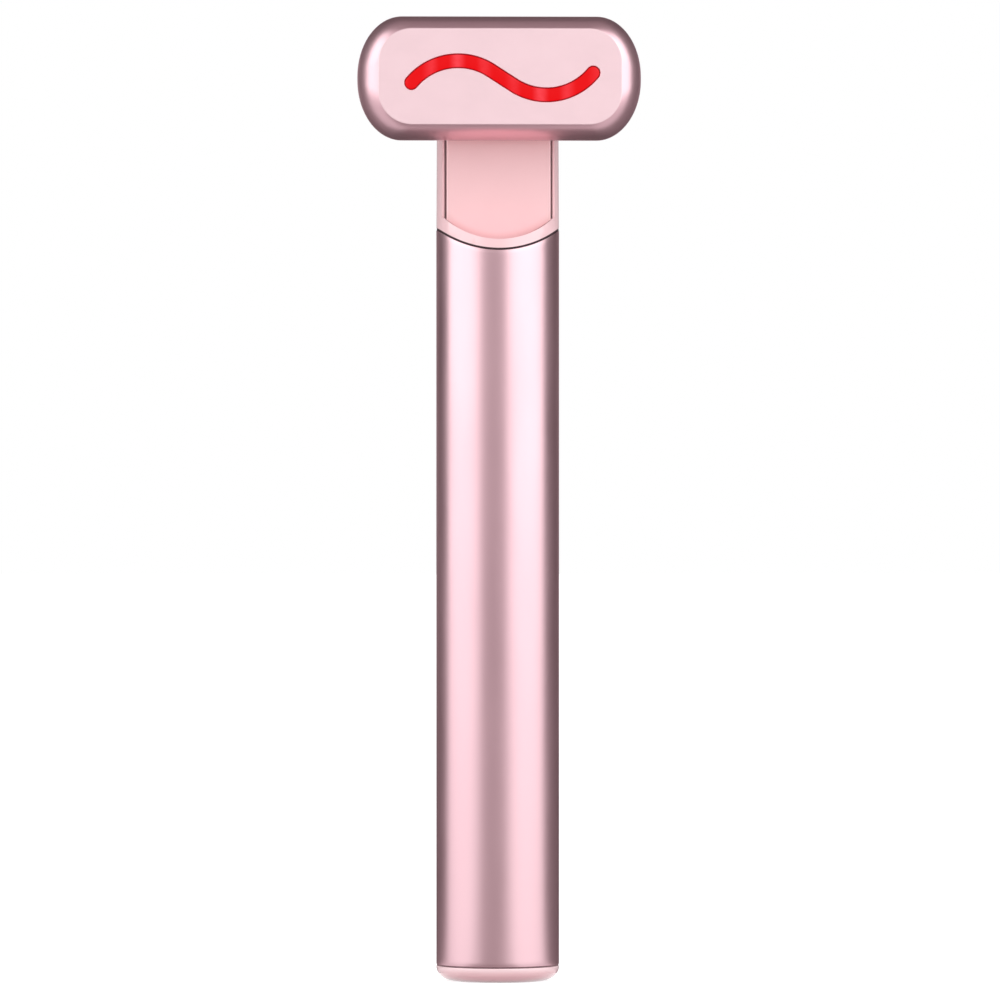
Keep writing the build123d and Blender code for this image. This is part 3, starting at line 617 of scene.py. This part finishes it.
innerFinishes = {
    brightSteel: ("usb_port_shell", "battery_tabs", "motor_case"),
    screwSteel: ("chassis_screws", "motor_shaft", "hinge_pins", "head_screws"),
    goldContact: ("tube_contact_spring", "plate_contact_pins"),
    heavyMetal: ("eccentric_weight",),
    blackPlastic: ("usb_port_tongue", "switch_body", "hinge_washers"),
    chipEpoxy: ("charge_board_parts", "main_board_parts"),
    paleNylon: ("inner_chassis",),
    switchNylon: ("switch_plunger",),
    leadRubber: ("battery_leads", "neck_leads", "head_leads"),
    frostedPipe: ("charge_light_pipe",),
    lampPlastic: ("red_leds",),
    boardMask(boardFinish): ("charge_board", "main_board", "led_board"),
    batteryFilm(filmFinish): ("battery_cell",),
    foamPad(foamFinish): ("battery_pads",),
}
for material, names in innerFinishes.items():
    for name in names:
        finishes[name] = material
for name, material in finishes.items():
    paint(nodes[name], material)
unpainted = sorted(set(nodes) - set(finishes))
print("finishes ready;", len(unpainted), "nodes without one", unpainted)


def makeTree(name, inputs):
    # a Geometry Nodes tree with a named input for each size
    tree = bpy.data.node_groups.new(name, "GeometryNodeTree")
    tree.is_modifier = True
    tree.interface.new_socket("Geometry", in_out="INPUT", socket_type="NodeSocketGeometry")
    for title, value in inputs.items():
        kind = "NodeSocketInt" if isinstance(value, int) else "NodeSocketFloat"
        tree.interface.new_socket(title, in_out="INPUT", socket_type=kind)
    tree.interface.new_socket("Material", in_out="INPUT", socket_type="NodeSocketMaterial")
    tree.interface.new_socket("Geometry", in_out="OUTPUT", socket_type="NodeSocketGeometry")
    source = addNode(tree, "NodeGroupInput")
    size = {title: Field(tree, source.outputs[title]) for title in inputs}
    return tree, size, source.outputs["Material"]


def geo(tree, kind, settings=None, **inputs):
    return addNode(tree, kind, settings, **inputs).outputs[0]


def endTree(tree, shape, material):
    real = geo(tree, "GeometryNodeRealizeInstances", Geometry=shape)
    painted = geo(tree, "GeometryNodeSetMaterial", Geometry=real, Material=material)
    addNode(tree, "NodeGroupOutput", Geometry=painted)


weldGap, flatGap = 2e-7, 2e-6  # points closer than this become one: in a made mesh, and in a node's copy


def runTree(name, tree, values, material):
    # runs a tree on an empty mesh and keeps its result as a plain mesh
    thing = plainMesh(name, [], [])
    modifier = thing.modifiers.new("maker", "NODES")
    modifier.node_group = tree
    for item in tree.interface.items_tree:
        if item.in_out == "INPUT" and item.name in values:
            modifier[item.identifier] = values[item.name]
        elif item.in_out == "INPUT" and item.name == "Material":
            modifier[item.identifier] = material
    keepResult(thing)
    build = bmesh.new()
    build.from_mesh(thing.data)
    bmesh.ops.remove_doubles(build, verts=build.verts, dist=weldGap)
    bmesh.ops.recalc_face_normals(build, faces=build.faces)
    build.to_mesh(thing.data)
    build.free()
    paint(thing, material)
    return thing


def keepResult(thing):
    result = bpy.data.meshes.new_from_object(thing.evaluated_get(bpy.context.evaluated_depsgraph_get()))
    thing.modifiers.clear()
    thing.data = result
    result.name = thing.name


def joinFlats(thing, within=0.5):
    build = bmesh.new()
    build.from_mesh(thing.data)
    bmesh.ops.remove_doubles(build, verts=build.verts, dist=flatGap)
    bmesh.ops.dissolve_limit(build, angle_limit=math.radians(within), verts=build.verts, edges=build.edges)
    build.to_mesh(thing.data)
    build.free()


def softEdges(thing, width, limit=25, segments=2, sharp=40):
    # rounds the edges that turn more than the limit, and evens out the shading beside them
    bevel = thing.modifiers.new("softEdges", "BEVEL")
    bevel.width = width
    bevel.segments = segments
    bevel.limit_method = "ANGLE"
    bevel.angle_limit = math.radians(limit)
    bevel.miter_outer = "MITER_ARC"
    keepResult(thing)
    smoothShade(thing, sharp)


def smoothShade(thing, sharp=40):
    thing.data.shade_smooth()
    thing.data.set_sharp_from_angle(angle=math.radians(sharp))
    even = thing.modifiers.new("evenShade", "WEIGHTED_NORMAL")
    even.keep_sharp = True
    keepResult(thing)


def place(thing, body, slot, *replaced):
    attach(thing, body)
    if replaced:
        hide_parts(*replaced)
    print(thing.name, "made with", len(thing.data.polygons), "faces")


def position(tree):
    split = addNode(tree, "ShaderNodeSeparateXYZ", Vector=geo(tree, "GeometryNodeInputPosition"))
    return [Field(tree, output) for output in split.outputs]


def moveTo(tree, shape, x=0.0, y=0.0, z=0.0):
    point = geo(tree, "ShaderNodeCombineXYZ", X=x, Y=y, Z=z)
    return geo(tree, "GeometryNodeSetPosition", Geometry=shape, Position=point)


def shift(tree, shape, x=0.0, y=0.0, z=0.0):
    by = geo(tree, "ShaderNodeCombineXYZ", X=x, Y=y, Z=z)
    return geo(tree, "GeometryNodeSetPosition", Geometry=shape, Offset=by)


def wrapGrid(tree, columns, rows):
    # a sheet of columns by rows, to be wrapped round and closed; gives each point's column and row
    sheet = geo(tree, "GeometryNodeMeshGrid", Size_X=1.0, Size_Y=1.0, Vertices_X=columns + 1, Vertices_Y=rows)
    x, y, z = position(tree)
    return sheet, (x + 0.5) * float(columns), (y + 0.5) * float(rows - 1)


def rowValue(tree, row, values):
    switch = addNode(tree, "GeometryNodeIndexSwitch", {"data_type": "FLOAT"})
    while len(switch.index_switch_items) < len(values):
        switch.index_switch_items.new()
    plug(tree, row.step("ROUND"), switch.inputs["Index"])
    for index, value in enumerate(values):
        plug(tree, value, switch.inputs[str(index)])
    return Field(tree, switch.outputs[0])


def sealed(tree, shape):
    return geo(tree, "GeometryNodeMergeByDistance", Geometry=shape, Distance=weldGap)


def combine(tree, operation, *shapes):
    node = addNode(tree, "GeometryNodeMeshBoolean", {"operation": operation, "solver": "EXACT"})
    one, many = node.inputs[:2]
    if operation == "DIFFERENCE":
        tree.links.new(shapes[0], one)
        shapes = shapes[1:]
    for shape in shapes:
        tree.links.new(shape, many)
    return node.outputs["Mesh"]


def block(tree, x, y, z):
    size = geo(tree, "ShaderNodeCombineXYZ", X=x, Y=y, Z=z)
    return geo(tree, "GeometryNodeMeshCube", Size=size)


def tipOver(tree, shape, way=1):
    # a quarter turn about X
    return geo(tree, "GeometryNodeTransform", Geometry=shape, Rotation=(way * math.pi / 2, 0, 0))


def pointIndex(tree):
    return Field(tree, geo(tree, "GeometryNodeInputIndex"))


# Handle tube: a wall with rounded lips, swept round and stretched up to the saddle cut at its top
tubeShape = {
    "Radius": 9.0 * mm, "Wall": 1.0 * mm, "Bottom": 2.42 * mm, "Top": 106.8 * mm,
    "Saddle": 14.5 * mm, "Lip Round": 0.05 * mm, "Lip Steps": 4, "Wall Cuts": 2, "Sides": 224,
}


def tubeTree():
    tree, size, material = makeTree("handleTube", tubeShape)
    ring = geo(tree, "GeometryNodeCurvePrimitiveCircle", Resolution=size["Sides"],
               Radius=size["Radius"] - size["Wall"] / 2.0)
    half = 1 * mm  # of the wall's height before it is stretched
    wall = geo(tree, "GeometryNodeCurvePrimitiveQuadrilateral", Width=size["Wall"], Height=2 * half)
    wall = geo(tree, "GeometryNodeFilletCurve", {"mode": "POLY"}, Curve=wall, Radius=size["Lip Round"],
               Count=size["Lip Steps"])
    wall = geo(tree, "GeometryNodeSubdivideCurve", Curve=wall, Cuts=size["Wall Cuts"])
    tube = geo(tree, "GeometryNodeCurveToMesh", Curve=ring, Profile_Curve=wall)
    x, y, z = position(tree)
    saddle = size["Saddle"]
    top = size["Top"] + saddle - (saddle * saddle - x * x).root() - half
    bottom = size["Bottom"] + half
    upper = z.step("GREATER_THAN", 0.0)
    endTree(tree, shift(tree, tube, z=bottom + (top - bottom) * upper), material)
    return tree


handleTube = runTree("handleTube", tubeTree(), tubeShape, finishes["handle_tube"])
smoothShade(handleTube, sharp=60)
place(handleTube, "handle", "handle_metal", "handle_tube")


# Wave of the light window: an arc, a straight and an arc, the same on both sides of its middle
waveShape = {
    "Radius": 8.8 * mm, "Spacing": 6.4 * mm, "Height": 2.46 * mm, "Reach": 6.78 * mm,
    "Middle X": 0.29 * mm, "Middle Z": 131.58 * mm, "Half Width": 0.95 * mm,
}


def waveLine(size, along):
    # a point and heading on the wave; along runs from -1 at its left end to 1
    radius, spacing = size["Radius"], size["Spacing"]
    low = radius - size["Height"]
    away = (spacing * spacing + low * low).root()
    slope = low.step("ARCTAN2", spacing) - (radius / away).step("ARCSINE")
    straight = (away * away - radius * radius).root()
    end = (size["Reach"] / radius).step("ARCSINE")
    walked = along.step("ABSOLUTE") * (straight + radius * (end - slope))
    onLine = walked.step("MINIMUM", straight)
    heading = slope + (walked - straight).step("MAXIMUM", 0.0) / radius
    side = along.step("SIGN")
    x = side * (onLine * slope.cosine() + radius * (heading.sine() - slope.sine())) + size["Middle X"]
    z = side * (onLine * slope.sine() - radius * (heading.cosine() - slope.cosine())) + size["Middle Z"]
    return x, z, heading


def waveSolid(tree, size, rows, sideSteps=96, capSteps=12):
    # each row is the wave's outline at one distance from its middle line, and at one depth
    columns = 2 * (sideSteps + capSteps)
    sheet, column, row = wrapGrid(tree, columns, len(rows))
    side, cap = float(sideSteps), float(capSteps)
    along = column.ramp(0.0, side) - column.ramp(side + cap, side)
    turn = (column.ramp(side, cap) + column.ramp(2 * side + cap, cap)) * math.pi
    x, z, heading = waveLine(size, along * 2.0 - 1.0)
    out = heading + math.pi / 2 - turn
    width = rowValue(tree, row, [entry[0] for entry in rows])
    depth = rowValue(tree, row, [entry[1] for entry in rows])
    return sealed(tree, moveTo(tree, sheet, x + width * out.cosine(), depth, z + width * out.sine()))


# Light guide: a slightly domed strip with rounded edges, on a flange behind the plate
guideShape = {
    **waveShape, "Flange": 1.95 * mm, "Front": -13.2 * mm, "Recess": 0.12 * mm, "Dome": 0.07 * mm,
    "Round": 0.14 * mm, "Step": -12.25 * mm, "Back": -11.45 * mm,
}


def guideTree(domeRows=(0.3, 0.55, 0.75), edgeTurns=(0, 30, 60, 90)):
    tree, size, material = makeTree("lightGuide", guideShape)
    width, bend, rim = size["Half Width"], size["Round"], size["Front"] + size["Recess"]
    flange, step, back = size["Flange"], size["Step"], size["Back"]
    rows = [(0.0, rim - size["Dome"])]
    rows += [(width * share, rim - size["Dome"] * (1 - share * share)) for share in domeRows]
    for turn in edgeTurns:
        inward, deeper = 1 - math.sin(math.radians(turn)), 1 - math.cos(math.radians(turn))
        rows.append((width - bend * inward, rim + bend * deeper))
    rows += [(width, step), (flange, step), (flange, back), (0.0, back)]
    endTree(tree, waveSolid(tree, size, rows), material)
    return tree


lightGuide = runTree("lightGuide", guideTree(), guideShape, finishes["light_guide"])
smoothShade(lightGuide, sharp=50)
place(lightGuide, "head", "red_lens", "light_guide")


# Treatment plate: the flat and its rim in one shell, with the wavy slot and the screw posts behind
plateShape = {
    **waveShape, "Half Width": 1.05 * mm, "Slot Flare": 0.07 * mm, "Middle": 131.8 * mm,
    "Flat Width": 35.2 * mm, "Flat Height": 13.8 * mm, "Flat Corner": 4.8 * mm,
    "Width": 41.3 * mm, "Height Over All": 18.0 * mm, "Round X": 6.45 * mm, "Round Z": 8.7 * mm,
    "Front": -13.2 * mm, "Rim": -7.5 * mm, "Back": -7.2 * mm, "Wall": 0.9 * mm, "Rim Start": 0.247,
    "Edge Loop": 0.3 * mm, "Post": 1.5 * mm, "Screw": 0.8 * mm, "Screw Tip": -9.9 * mm,
}
postPlaces = ((-15.2, 4.0), (-11.0, -4.6), (15.2, -4.0), (11.0, 4.6))


def plateShell(tree, size, quarterSteps=22, rimRows=22, innerRows=6):
    # rows from the middle of the front: a loop inside the flat's edge, the edge, the rim, the back edge,
    # and the same way back inside to the middle
    columns = 4 * (quarterSteps + 1)
    lastRim = rimRows + 2
    rows = rimRows + innerRows + 7
    sheet, column, row = wrapGrid(tree, columns, rows)
    front, rim, wall = size["Front"], size["Rim"], size["Wall"]
    # how far each row is along the quarter ellipse of the rim, out and then back inside
    first = size["Rim Start"].step("ARCSINE")
    travelled = row.ramp(2.0, float(rimRows)) - row.ramp(lastRim + 3.0, float(innerRows))
    angle = first + (first * -1.0 + math.pi / 2) * travelled
    share = (angle.sine() - size["Rim Start"]) / (size["Rim Start"] * -1.0 + 1.0)
    inside = row.ramp(lastRim + 1.0)
    base = front + wall * inside
    atBack = row.ramp(float(lastRim)) - row.ramp(lastRim + 2.0)
    y = base + (rim - base) * ((angle.cosine() / first.cosine()) * -1.0 + 1.0) + (size["Back"] - rim) * atBack
    inset = wall * inside + (row * -1.0 + 2.0).ramp(0.0) * size["Edge Loop"]
    spread = row.ramp(0.0) * (row * -1.0 + (rows - 1.0)).ramp(0.0)
    # the row's rounded oblong; a hair is added so that a corner's first column isn't rounded down
    quarter = ((column + 0.01) / (quarterSteps + 1.0)).step("FLOOR")
    local = column - quarter * (quarterSteps + 1.0)
    turn = (quarter + local / float(quarterSteps)) * (math.pi / 2)
    corner = (quarter + 0.5) * (math.pi / 2)
    halfX = (size["Flat Width"] + (size["Width"] - size["Flat Width"]) * share) / 2.0
    halfZ = (size["Flat Height"] + (size["Height Over All"] - size["Flat Height"]) * share) / 2.0
    roundX = size["Flat Corner"] + (size["Round X"] - size["Flat Corner"]) * share - inset
    roundZ = size["Flat Corner"] + (size["Round Z"] - size["Flat Corner"]) * share - inset
    x = corner.cosine().step("SIGN") * (halfX - inset - roundX) + roundX * turn.cosine()
    z = corner.sine().step("SIGN") * (halfZ - inset - roundZ) + roundZ * turn.sine()
    return sealed(tree, moveTo(tree, sheet, x * spread, y, z * spread + size["Middle"]))


def atPosts(tree, size, shape):
    # one copy of the shape at each screw post
    index = pointIndex(tree)
    x = rowValue(tree, index, [spot[0] * mm for spot in postPlaces])
    z = rowValue(tree, index, [spot[1] * mm for spot in postPlaces])
    spots = geo(tree, "GeometryNodeMeshLine", Count=len(postPlaces))
    spots = moveTo(tree, spots, x, 0.0, z + size["Middle"])
    copies = geo(tree, "GeometryNodeInstanceOnPoints", Points=spots, Instance=shape)
    return geo(tree, "GeometryNodeRealizeInstances", Geometry=copies)


def rodAlongY(tree, radius, front, back, sides=36):
    rod = geo(tree, "GeometryNodeMeshCylinder", Vertices=sides, Radius=radius, Depth=back - front)
    return shift(tree, tipOver(tree, rod), y=(front + back) / 2.0)


def plateTree():
    tree, size, material = makeTree("treatmentPlate", plateShape)
    front, wall, flare, width = size["Front"], size["Wall"], size["Slot Flare"], size["Half Width"]
    spare = 0.4 * mm  # that a cut runs past the metal
    rows = [(0.0, front - spare), (width + flare + spare, front - spare), (width, front + flare)]
    rows += [(width, front + wall + spare), (0.0, front + wall + spare)]
    slot = waveSolid(tree, size, rows)
    posts = atPosts(tree, size, rodAlongY(tree, size["Post"], front + wall / 2.0, size["Back"]))
    holes = atPosts(tree, size, rodAlongY(tree, size["Screw"], size["Screw Tip"], size["Back"] + spare))
    solid = combine(tree, "UNION", plateShell(tree, size), posts)
    endTree(tree, combine(tree, "DIFFERENCE", solid, slot, holes), material)
    return tree


treatmentPlate = runTree("treatmentPlate", plateTree(), plateShape, finishes["treatment_plate"])
joinFlats(treatmentPlate)
softEdges(treatmentPlate, width=0.1 * mm, limit=15, segments=3)
place(treatmentPlate, "head", "plate_metal", "treatment_plate")


# Screws of the back cover: countersunk, with a cross recess
screwShape = {
    "Head": 1.4 * mm, "Shank": 0.8 * mm, "Back": -5.3 * mm, "Length": 4.6 * mm, "Middle": 131.8 * mm,
    "Recess Width": 1.8 * mm, "Recess Slot": 0.35 * mm, "Recess Depth": 0.3 * mm, "Sides": 48,
}


def screwTree():
    tree, size, material = makeTree("headScrews", screwShape)
    rise = size["Head"] - size["Shank"]
    head = geo(tree, "GeometryNodeMeshCone", Vertices=size["Sides"], Radius_Top=size["Head"],
               Radius_Bottom=size["Shank"], Depth=rise)
    head = shift(tree, head, z=-rise)
    # a hair slimmer than the cone's end, and starting half way up the cone
    shank = geo(tree, "GeometryNodeMeshCylinder", Vertices=size["Sides"], Radius=size["Shank"] * 0.999,
                Depth=size["Length"] - rise * 0.5)
    shank = shift(tree, shank, z=size["Length"] * -0.5 - rise * 0.25)
    arms = []
    for across, along in (("Recess Width", "Recess Slot"), ("Recess Slot", "Recess Width")):
        arms.append(block(tree, size[across], size[along], size["Recess Depth"] * 2.0))
    screw = combine(tree, "DIFFERENCE", combine(tree, "UNION", head, shank), *arms)
    endTree(tree, shift(tree, atPosts(tree, size, tipOver(tree, screw, -1)), y=size["Back"]), material)
    return tree


headScrews = runTree("headScrews", screwTree(), screwShape, screwSteel)
joinFlats(headScrews)
softEdges(headScrews, width=0.04 * mm)
place(headScrews, "head", "screw_steel", "head_screws")


# Lamps: seven packages along the wave, each with a low round lens
lampShape = {
    **waveShape, "Lamps": 7, "Pitch": 4.0 * mm, "First": -10.2 * mm, "Size": 1.6 * mm,
    "Front": -11.25 * mm, "Back": -10.55 * mm,
    "Lens": 0.6 * mm, "Lens Rise": 0.08 * mm, "Lens Taper": 0.8, "Lens Sides": 32,
}


def lampTree():
    tree, size, material = makeTree("redLamps", lampShape)
    thick = size["Back"] - size["Front"] - size["Lens Rise"]
    body = shift(tree, block(tree, size["Size"], thick, size["Size"]), y=size["Back"] - thick / 2.0)
    top = size["Lens"] * size["Lens Taper"]
    lens = geo(tree, "GeometryNodeMeshCone", Vertices=size["Lens Sides"], Radius_Top=top,
               Radius_Bottom=size["Lens"], Depth=size["Lens Rise"] * 2.0)
    lens = shift(tree, tipOver(tree, lens), y=size["Front"] + size["Lens Rise"] * 2.0)
    lamp = combine(tree, "UNION", body, lens)
    x = size["First"] + size["Pitch"] * pointIndex(tree)
    away = x - size["Middle X"]
    low = size["Radius"] - size["Height"]
    fromCrest = away.step("ABSOLUTE") - size["Spacing"]
    rise = (size["Radius"] * size["Radius"] - fromCrest * fromCrest).root() - low
    spots = geo(tree, "GeometryNodeMeshLine", Count=size["Lamps"])
    spots = moveTo(tree, spots, x, 0.0, size["Middle Z"] - away.step("SIGN") * rise)
    endTree(tree, geo(tree, "GeometryNodeInstanceOnPoints", Points=spots, Instance=lamp), material)
    return tree


redLamps = runTree("redLamps", lampTree(), lampShape, lampPlastic)
joinFlats(redLamps)
softEdges(redLamps, width=0.05 * mm)
place(redLamps, "head", "lamp_red", "red_leds")


# Charging port: a row of spring contacts on each face of the tongue
contactShape = {
    "Contacts": 8, "Pitch": 0.75 * mm, "Width": 0.3 * mm, "Length": 3.4 * mm, "Low": 1.7 * mm,
    "Tongue": 0.35 * mm, "Proud": 0.05 * mm,
}


def contactTree():
    tree, size, material = makeTree("portContacts", contactShape)
    bar = block(tree, size["Width"], size["Proud"] * 2.0, size["Length"])
    index = pointIndex(tree)
    side = (index / size["Contacts"]).step("FLOOR") * 2.0 - 1.0
    along = index.step("FLOORED_MODULO", size["Contacts"])
    x = (along - (size["Contacts"] - 1.0) / 2.0) * size["Pitch"]
    spots = geo(tree, "GeometryNodeMeshLine", Count=size["Contacts"] * 2.0)
    spots = moveTo(tree, spots, x, side * size["Tongue"], size["Low"] + size["Length"] / 2.0)
    endTree(tree, geo(tree, "GeometryNodeInstanceOnPoints", Points=spots, Instance=bar), material)
    return tree


portContacts = runTree("portContacts", contactTree(), contactShape, goldContact)
softEdges(portContacts, width=0.02 * mm)
place(portContacts, "handle", "contact_brass")


# Moulded pieces: the nodes' own shapes with their edges softened
mouldedPieces = {
    # node: piece, body, edge round
    "end_cap": ("endCap", "handle", 0.12 * mm),
    "neck_housing": ("neckHousing", "handle", 0.1 * mm),
    "neck_panel": ("neckPanel", "handle", 0.24 * mm),
    "head_back_cover": ("headBackCover", "head", 0.12 * mm),
}


def copyNode(nodeName, pieceName):
    thing = addObject(pieceName, nodes[nodeName].data.copy())
    paint(thing, finishes[nodeName])
    joinFlats(thing)
    return thing


for name, (piece, body, width) in mouldedPieces.items():
    moulded = copyNode(name, piece)
    softEdges(moulded, width)
    place(moulded, body, "pink_plastic", name)
print("moulded pieces ready")


# Seals: the nodes' rings, squeezed out to just inside the tube's outside, so the seams are dark to their ends
sealShape = {"seat": 8.65 * mm, "outer": 8.93 * mm, "edgeRound": 0.05 * mm}
sealPieces = {
    # node: piece, radius of the saddle that it follows
    "end_cap_seal": ("endCapSeal", None),
    "neck_gasket": ("neckGasket", tubeShape["Saddle"]),
}


def squeezeOut(thing, setup, saddle):
    for vertex in thing.data.vertices:
        spot = vertex.co
        reach = math.hypot(spot.x, spot.y)
        if reach < setup["seat"]:
            continue
        x = spot.x * setup["outer"] / reach
        if saddle:
            spot.z += math.sqrt(saddle ** 2 - spot.x ** 2) - math.sqrt(saddle ** 2 - x ** 2)
        spot.y *= setup["outer"] / reach
        spot.x = x


for name, (piece, saddle) in sealPieces.items():
    seal = copyNode(name, piece)
    squeezeOut(seal, sealShape, saddle)
    softEdges(seal, sealShape["edgeRound"])
    place(seal, "handle", "dark_seal", name)
print("seals ready")
